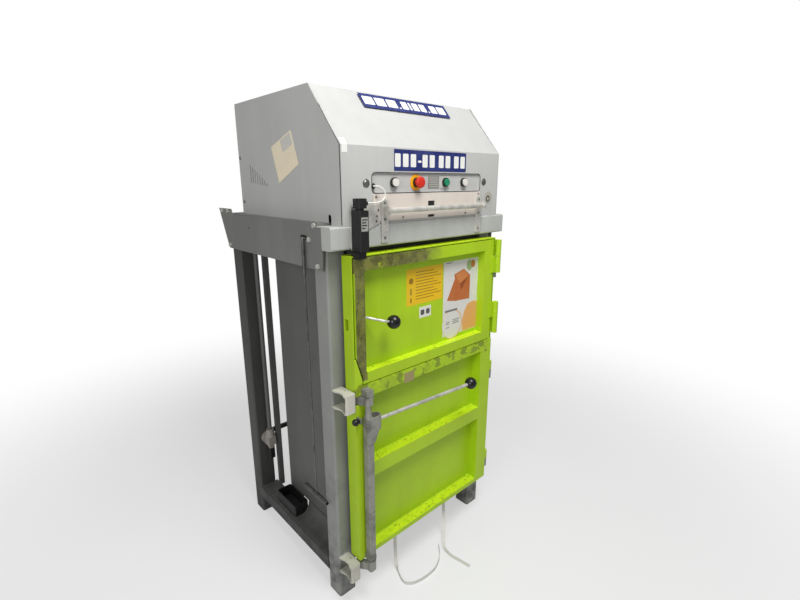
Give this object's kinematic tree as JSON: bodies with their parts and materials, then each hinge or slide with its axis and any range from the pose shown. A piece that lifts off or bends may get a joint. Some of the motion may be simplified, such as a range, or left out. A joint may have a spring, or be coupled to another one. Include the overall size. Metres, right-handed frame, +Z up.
{
  "type": "recycling baler",
  "caption": "Vertical recycling baler: four-post frame, hooded press, side-hung green bale door with cam lock and a loading door above it.",
  "frame": {"origin": "middle of the bounding box at floor level", "axes": "+Z up, -Y the side with the doors, +X to the right as seen from the doors"},
  "size_m": [0.96, 1.1082, 1.985],
  "materials": {
    "grey_paint": "satin",
    "green_paint": "satin",
    "bright_steel": "satin",
    "dark_paint": "satin",
    "black_plastic": "gloss",
    "white_plastic": "satin",
    "yellow_plastic": "satin",
    "red_plastic": "gloss",
    "green_plastic": "gloss",
    "strap_fibre": "matte"
  },
  "bodies": {
    "frame": {"front_columns": "grey_paint", "rear_columns": "grey_paint", "side_rails": "grey_paint", "cross_rails": "grey_paint", "tray_left": "grey_paint", "floor_plates": "grey_paint", "strap_channels": "grey_paint", "wall_left": "grey_paint", "wall_right": "grey_paint", "wall_rear": "grey_paint", "front_beam": "grey_paint", "side_plates": "grey_paint", "top_deck": "grey_paint", "hood": "grey_paint", "hood_front": "grey_paint", "control_panel": "grey_paint", "lower_cover": "grey_paint", "keepers": "grey_paint", "conduits": "grey_paint", "hinge_posts": "grey_paint", "guard_bar": "bright_steel", "guard_brackets": "bright_steel", "switch_bracket": "bright_steel", "threading_rod": "bright_steel", "strap_axle": "bright_steel", "bolts": "bright_steel", "button_rings": "black_plastic", "legend_plates": "yellow_plastic", "cylinder_barrel": "dark_paint", "power_pack": "dark_paint", "door_switch": "black_plastic", "buckle_box": "black_plastic", "power_inlet": "white_plastic", "switch_cable": "white_plastic", "strap_a": "strap_fibre", "strap_b": "strap_fibre"},
    "bale_door": {"door_frame": "green_paint", "door_surround": "green_paint", "door_panel": "green_paint", "door_knuckles": "green_paint", "lock_bearings": "grey_paint"},
    "catch": {"catch_pin": "black_plastic"},
    "loading_door": {"hatch_frame": "green_paint", "hatch_panel": "green_paint", "hatch_knuckles": "green_paint", "switch_actuator": "black_plastic"},
    "lock": {"lock_bar": "grey_paint", "lock_lever": "bright_steel", "lever_knob": "black_plastic"},
    "latch": {"latch_lever": "bright_steel", "latch_knob": "black_plastic"},
    "press_plate": {"platen": "dark_paint", "piston_rod": "bright_steel"},
    "press_stage": {"piston_stage": "bright_steel"},
    "estop": {"estop_button": "red_plastic"},
    "start": {"start_button": "green_plastic"},
    "left_button": {"push_left": "white_plastic"},
    "right_button": {"push_right": "white_plastic"},
    "left_roll": {"strap_roll_left": "strap_fibre"},
    "right_roll": {"strap_roll_right": "strap_fibre"}
  },
  "joints": [
    {"name": "bale_door_swing", "type": "hinge", "parent": "frame", "child": "bale_door", "pos_m": [0.424, -0.40049, 0.789], "axis": [0, 0, 1], "range_deg": [0, 110]},
    {"name": "loading_door_swing", "type": "hinge", "parent": "bale_door", "child": "loading_door", "pos_m": [0.414, -0.42549, 1.19], "axis": [0, 0, 1], "range_deg": [0, 120]},
    {"name": "lock_turn", "type": "hinge", "parent": "bale_door", "child": "lock", "pos_m": [-0.353, -0.43599, 0.815], "axis": [0, 0, -1], "range_deg": [-8, 36]},
    {"name": "catch_pull", "type": "slide", "parent": "bale_door", "child": "catch", "axis": [-1, 0, 0], "range_m": [0, 0.008], "stiffness_N_per_m": 600},
    {"name": "latch_turn", "type": "hinge", "parent": "loading_door", "child": "latch", "pos_m": [-0.359, -0.39549, 1.213], "axis": [0, -1, 0], "range_deg": [-45, 8]},
    {"name": "press_plate_slide", "type": "slide", "parent": "frame", "child": "press_plate", "axis": [0, 0, -1], "range_m": [0, 0.76]},
    {"name": "press_stage_slide", "type": "slide", "parent": "frame", "child": "press_stage", "axis": [0, 0, -1], "range_m": [0, 0.38]},
    {"name": "estop_push", "type": "slide", "parent": "frame", "child": "estop", "axis": [0, 1, 0], "range_m": [0, 0.004]},
    {"name": "start_push", "type": "slide", "parent": "frame", "child": "start", "axis": [0, 1, 0], "range_m": [0, 0.004], "stiffness_N_per_m": 600},
    {"name": "left_button_push", "type": "slide", "parent": "frame", "child": "left_button", "axis": [0, 1, 0], "range_m": [0, 0.004], "stiffness_N_per_m": 600},
    {"name": "right_button_push", "type": "slide", "parent": "frame", "child": "right_button", "axis": [0, 1, 0], "range_m": [0, 0.004], "stiffness_N_per_m": 600},
    {"name": "left_roll_spin", "type": "hinge", "parent": "frame", "child": "left_roll", "pos_m": [-0.154, 0.39351, 0.42], "axis": [1, 0, 0], "continuous": true},
    {"name": "right_roll_spin", "type": "hinge", "parent": "frame", "child": "right_roll", "pos_m": [0.168, 0.39351, 0.42], "axis": [1, 0, 0], "continuous": true}
  ],
  "couplings": [
    {"joint": "press_stage_slide", "follows": "press_plate_slide", "ratio": 0.5}
  ]
}
